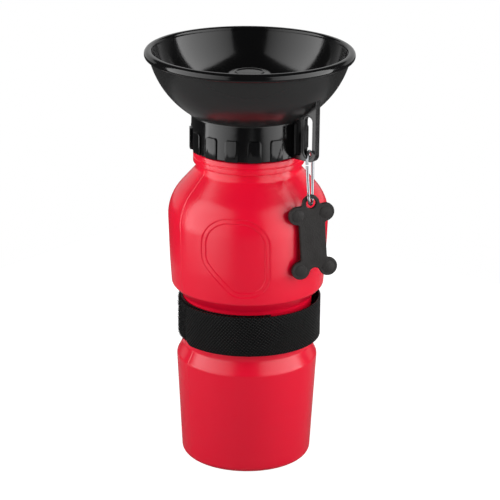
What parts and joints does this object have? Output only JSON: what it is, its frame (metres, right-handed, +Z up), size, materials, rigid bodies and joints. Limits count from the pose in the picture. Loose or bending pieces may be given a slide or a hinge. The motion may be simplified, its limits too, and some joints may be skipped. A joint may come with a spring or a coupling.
{
  "type": "dog travel water bottle",
  "caption": "Squeeze water bottle for a dog walk whose screw-on head is a drinking bowl, with a spout and twist cap, a hook and loop strap, and a clip with a bone-shaped rubber tag",
  "frame": {"origin": "centre of the standing ring under the base, on the surface that the bottle stands on", "axes": "+Z up along the bottle, +X out along the hanger fin, +Y to the fin's left"},
  "size_m": [0.1127, 0.112, 0.2292],
  "materials": {
    "squeeze_plastic": "soft polyethylene with a wet gloss, dyed through, a little translucent",
    "bowl_plastic": "polypropylene, satin gloss outside and glossier inside",
    "spout_plastic": "satin moulding",
    "silicone": "soft matt silicone",
    "tube_plastic": "natural polyethylene tube",
    "webbing": "tight woven tape",
    "loop_pile": "fuzzy loop pile",
    "hook_plastic": "fine moulded hooks",
    "steel": "bright plated wire",
    "tag_rubber": "matt soft moulding"
  },
  "bodies": {
    "base": {"bottle": "squeeze_plastic"},
    "strap": {"strap_strip": "webbing", "strap_pile": "loop_pile", "strap_tab": "webbing", "strap_hooks": "hook_plastic"},
    "lift": {"neck_gasket": "silicone"},
    "head": {"bowl": "bowl_plastic", "spout": "spout_plastic", "spout_seal": "silicone", "dip_tube": "tube_plastic"},
    "cap": {"spout_cap": "bowl_plastic"},
    "clip": {"clip_frame": "steel"},
    "gate": {"clip_gate": "steel", "clip_rivet": "steel"},
    "tag": {"bone_tag": "tag_rubber"}
  },
  "joints": [
    {"name": "strap_turn", "type": "hinge", "parent": "base", "child": "strap", "pos_m": [0, 0, 0.0811], "axis": [0, 0, 1], "continuous": true},
    {"name": "head_lift", "type": "slide", "parent": "base", "child": "lift", "axis": [0, 0, 1], "range_m": [0, 0.00601]},
    {"name": "head_turn", "type": "hinge", "parent": "lift", "child": "head", "pos_m": [0, 0, 0.1939], "axis": [0, 0, 1], "range_deg": [0, 540]},
    {"name": "cap_turn", "type": "hinge", "parent": "head", "child": "cap", "pos_m": [0, 0, 0.2], "axis": [0, 0, 1], "range_deg": [0, 45]},
    {"name": "clip_swing", "type": "hinge", "parent": "head", "child": "clip", "pos_m": [0.0413, 0, 0.1811], "axis": [0.4067, -0.9135, 0], "range_deg": [0, 75]},
    {"name": "gate_open", "type": "hinge", "parent": "clip", "child": "gate", "pos_m": [0.04801, -0.00883, 0.16074], "axis": [-0.8946, -0.434, -0.1066], "range_deg": [0, 18], "stiffness_Nm_per_rad": 0.001, "springref_deg": -11.46},
    {"name": "tag_swing", "type": "hinge", "parent": "clip", "child": "tag", "pos_m": [0.04746, -0.00616, 0.15519], "axis": [0.8387, -0.5446, 0], "range_deg": [-4, 25]}
  ],
  "couplings": [
    {"joint": "head_lift", "follows": "head_turn", "m_per_rad": 0.00063662}
  ]
}
